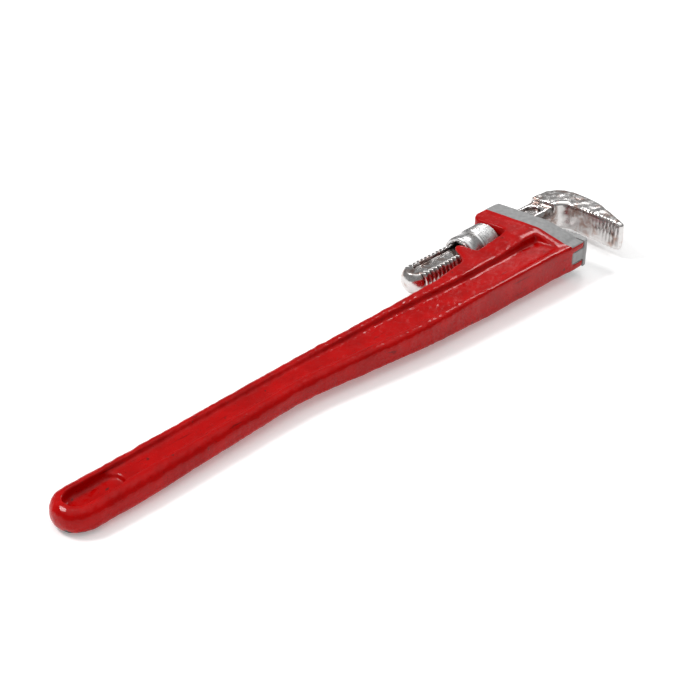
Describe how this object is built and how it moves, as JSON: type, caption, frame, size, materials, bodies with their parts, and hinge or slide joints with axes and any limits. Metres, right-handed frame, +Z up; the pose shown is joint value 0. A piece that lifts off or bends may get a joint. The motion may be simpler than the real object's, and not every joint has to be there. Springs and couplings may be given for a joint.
{
  "type": "pipe wrench",
  "caption": "Heavy-duty straight pipe wrench, red cast I-section handle, sliding hook jaw on a threaded shank, knurled adjusting nut, pinned heel jaw",
  "frame": {"origin": "on the lower face of the head's raised band, under the axis of the hook jaw's shank, at the middle of the band's width", "axes": "+X along the handle towards the hook jaw, +Z up with the wrench lying on its side, -Y towards the heel jaw's outer edge"},
  "size_m": [0.569, 0.0977, 0.038],
  "materials": {
    "red_enamel": "gloss enamel over rough cast iron, bare grey band across the head",
    "grey_steel": "matt grey, filed teeth",
    "bright_steel": "bright, wavy cast surface",
    "nut_steel": "bright turned hub, fine knurl",
    "spring_steel": "oiled spring steel",
    "pin_steel": "ground steel"
  },
  "bodies": {
    "handle": {"handle": "red_enamel", "heel_jaw": "grey_steel", "heel_jaw_pin": "pin_steel", "coil_spring": "spring_steel"},
    "spring_follower": {"flat_spring": "spring_steel", "spring_rivet": "pin_steel"},
    "hook_jaw": {"hook_jaw": "bright_steel"},
    "adjusting_nut": {"adjusting_nut": "nut_steel"}
  },
  "joints": [
    {"name": "jaw_rock", "type": "hinge", "parent": "handle", "child": "spring_follower", "pos_m": [-0.0465, 0, 0.019], "axis": [0, 0, 1], "range_deg": [-2, 0], "stiffness_Nm_per_rad": 8, "springref_deg": 1.15, "deforming": ["coil_spring"]},
    {"name": "nut_spin", "type": "hinge", "parent": "spring_follower", "child": "adjusting_nut", "pos_m": [-0.0465, 0, 0.019], "axis": [1, 0, 0], "range_deg": [-2885, 2105]},
    {"name": "hook_slide", "type": "slide", "parent": "spring_follower", "child": "hook_jaw", "axis": [1, 0, 0], "range_m": [-0.0274, 0.0376]}
  ],
  "couplings": [
    {"joint": "nut_spin", "follows": "hook_slide", "rad_per_m": -1336.8}
  ]
}
